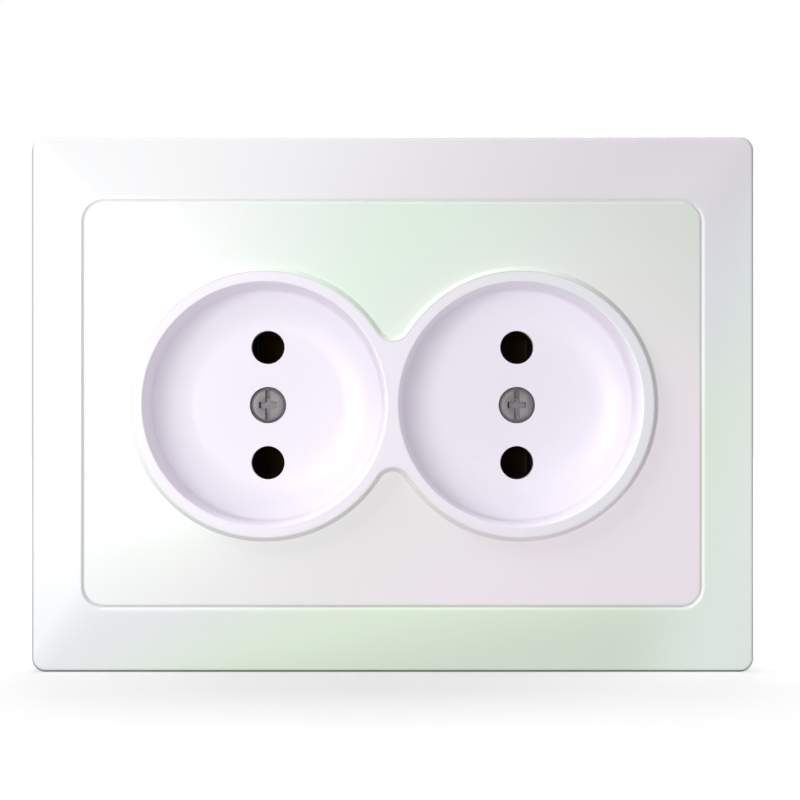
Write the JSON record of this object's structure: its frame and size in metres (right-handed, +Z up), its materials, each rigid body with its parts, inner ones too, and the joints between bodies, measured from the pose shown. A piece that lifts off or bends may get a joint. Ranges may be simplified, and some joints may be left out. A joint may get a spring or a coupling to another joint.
{
  "type": "double wall socket",
  "caption": "Flush wall socket: round plug wells on a figure-eight collar in a cover plate and surround frame, with spring contacts and screw-driven spreader claws behind.",
  "frame": {"origin": "centre of the socket on the wall's surface, midway between the box screw slots", "axes": "+X to the right along both wells, +Y into the wall, +Z up the wall; the front faces -Y"},
  "size_m": [0.116, 0.0345, 0.086],
  "materials": {
    "frame_pearl": "pearl white, glossy",
    "plate_pearl": "pearl white, glossy",
    "well_plastic": "cool white, satin gloss",
    "base_plastic": "black moulded thermoset, dull",
    "zinc_sheet": "zinc plated sheet",
    "cover_screw_steel": "zinc plated, dull",
    "plated_steel": "zinc plated, satin",
    "contact_brass": "rolled brass strip"
  },
  "bodies": {
    "socket": {"frame": "frame_pearl", "cover_plate": "plate_pearl", "socket_insert": "well_plastic", "base": "base_plastic", "contact_lid": "base_plastic", "mounting_strap": "zinc_sheet", "terminal_clamp_1": "zinc_sheet", "terminal_clamp_2": "zinc_sheet", "terminal_clamp_3": "zinc_sheet", "terminal_clamp_4": "zinc_sheet", "cover_screws": "cover_screw_steel", "cover_nuts": "plated_steel", "terminal_screws": "plated_steel", "rivets": "plated_steel", "upper_contact": "contact_brass", "lower_contact": "contact_brass"},
    "upper_claw": {"upper_claw": "zinc_sheet"},
    "lower_claw": {"lower_claw": "zinc_sheet"},
    "upper_claw_screw": {"upper_claw_screw": "plated_steel"},
    "lower_claw_screw": {"lower_claw_screw": "plated_steel"}
  },
  "joints": [
    {"name": "upper_claw_screw_turn", "type": "hinge", "parent": "socket", "child": "upper_claw_screw", "pos_m": [0, 0, 0.02258], "axis": [0, 1, 0], "range_deg": [0, 1440]},
    {"name": "upper_claw_swing", "type": "hinge", "parent": "socket", "child": "upper_claw", "pos_m": [0, 0.00473, 0.01718], "axis": [1, 0, 0], "range_deg": [0, 20]},
    {"name": "lower_claw_screw_turn", "type": "hinge", "parent": "socket", "child": "lower_claw_screw", "pos_m": [0, 0, -0.02258], "axis": [0, 1, 0], "range_deg": [0, 1440]},
    {"name": "lower_claw_swing", "type": "hinge", "parent": "socket", "child": "lower_claw", "pos_m": [0, 0.00473, -0.01718], "axis": [-1, 0, 0], "range_deg": [0, 20]}
  ],
  "couplings": [
    {"joint": "upper_claw_swing", "follows": "upper_claw_screw_turn", "ratio": 0.013889},
    {"joint": "lower_claw_swing", "follows": "lower_claw_screw_turn", "ratio": 0.013889}
  ]
}
